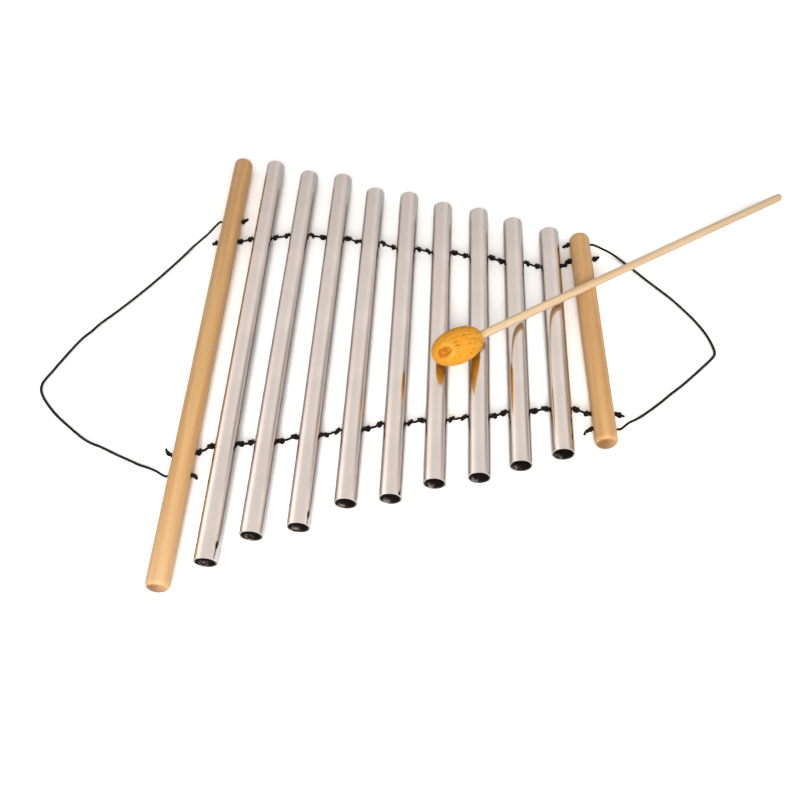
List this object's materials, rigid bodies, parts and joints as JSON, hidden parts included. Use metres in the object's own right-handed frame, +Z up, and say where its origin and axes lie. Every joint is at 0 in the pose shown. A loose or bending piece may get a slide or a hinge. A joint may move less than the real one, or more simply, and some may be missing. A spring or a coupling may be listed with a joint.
{
  "type": "bar chimes",
  "caption": "Open metal tubes of falling length strung crosswise on two knotted cords between two wooden rods, with hanging loops and a yarn-wound mallet.",
  "frame": {"origin": "on the ground under the middle of the box around everything but the two hanging loops", "axes": "+X from the long rod to the short rod, +Y along the tubes away from the picture's camera, +Z up"},
  "size_m": [0.6606, 0.458, 0.0445],
  "materials": {
    "tube_steel": "polished",
    "rod_wood": "smooth, lightly oiled",
    "stick_wood": "smooth, bare",
    "cord": "twisted, matte",
    "mallet_core": "matte",
    "yarn": "wound yarn"
  },
  "bodies": {
    "tube_6": {"tube_6": "tube_steel", "cord_tube_6": "cord"},
    "tube_5": {"tube_5": "tube_steel", "cord_tube_5": "cord"},
    "tube_4": {"tube_4": "tube_steel", "cord_tube_4": "cord"},
    "tube_3": {"tube_3": "tube_steel", "cord_tube_3": "cord"},
    "tube_2": {"tube_2": "tube_steel", "cord_tube_2": "cord"},
    "tube_1": {"tube_1": "tube_steel", "cord_tube_1": "cord"},
    "long_rod": {"long_rod": "rod_wood", "cord_long_rod": "cord", "long_loop_ends": "cord"},
    "long_loop": {"long_hanging_loop": "cord"},
    "tube_7": {"tube_7": "tube_steel", "cord_tube_7": "cord"},
    "tube_8": {"tube_8": "tube_steel", "cord_tube_8": "cord"},
    "tube_9": {"tube_9": "tube_steel", "cord_tube_9": "cord"},
    "short_rod": {"short_rod": "rod_wood", "cord_short_rod": "cord", "short_loop_ends": "cord"},
    "short_loop": {"short_hanging_loop": "cord"},
    "mallet": {"mallet_stick": "stick_wood", "mallet_core": "mallet_core", "mallet_winding": "yarn"}
  },
  "joints": [
    {"name": "tube_5_swing", "type": "hinge", "parent": "tube_6", "child": "tube_5", "pos_m": [-0.06621, 0.01152, 0.009], "axis": [0, 1, 0], "range_deg": [-30, 30]},
    {"name": "tube_4_swing", "type": "hinge", "parent": "tube_5", "child": "tube_4", "pos_m": [-0.09957, 0.01206, 0.009], "axis": [0, 1, 0], "range_deg": [-30, 30]},
    {"name": "tube_3_swing", "type": "hinge", "parent": "tube_4", "child": "tube_3", "pos_m": [-0.1333, 0.01233, 0.009], "axis": [0, 1, 0], "range_deg": [-30, 30]},
    {"name": "tube_2_swing", "type": "hinge", "parent": "tube_3", "child": "tube_2", "pos_m": [-0.16749, 0.01161, 0.009], "axis": [0, 1, 0], "range_deg": [-30, 30]},
    {"name": "tube_1_swing", "type": "hinge", "parent": "tube_2", "child": "tube_1", "pos_m": [-0.20145, 0.00933, 0.009], "axis": [-0.0063, 1, 0], "range_deg": [-30, 30]},
    {"name": "long_rod_swing", "type": "hinge", "parent": "tube_1", "child": "long_rod", "pos_m": [-0.23457, 0.0038, 0.009], "axis": [-0.0144, 0.9999, 0], "range_deg": [-30, 30]},
    {"name": "tube_7_swing", "type": "hinge", "parent": "tube_6", "child": "tube_7", "pos_m": [-0.03263, 0.01071, 0.009], "axis": [0, 1, 0], "range_deg": [0, 30]},
    {"name": "tube_8_swing", "type": "hinge", "parent": "tube_7", "child": "tube_8", "pos_m": [0.00041, 0.00963, 0.009], "axis": [0, 1, 0], "range_deg": [0, 30]},
    {"name": "tube_9_swing", "type": "hinge", "parent": "tube_8", "child": "tube_9", "pos_m": [0.03285, 0.00864, 0.009], "axis": [0, 1, 0], "range_deg": [0, 30]},
    {"name": "short_rod_swing", "type": "hinge", "parent": "tube_9", "child": "short_rod", "pos_m": [0.06461, 0.00887, 0.009], "axis": [-0.0153, 0.9999, 0], "range_deg": [0, 30]},
    {"name": "long_loop_swing", "type": "hinge", "parent": "long_rod", "child": "long_loop", "pos_m": [-0.26188, 0.00382, 0.009], "axis": [0.0162, -0.9999, 0], "range_deg": [-90, 30]},
    {"name": "short_loop_swing", "type": "hinge", "parent": "short_rod", "child": "short_loop", "pos_m": [0.09065, 0.01246, 0.009], "axis": [0.0291, -0.9996, 0], "range_deg": [-90, 15]},
    {"name": "mallet_lift", "type": "slide", "parent": "tube_6", "child": "mallet", "axis": [0, 0, 1], "range_m": [0, 0.06]}
  ]
}
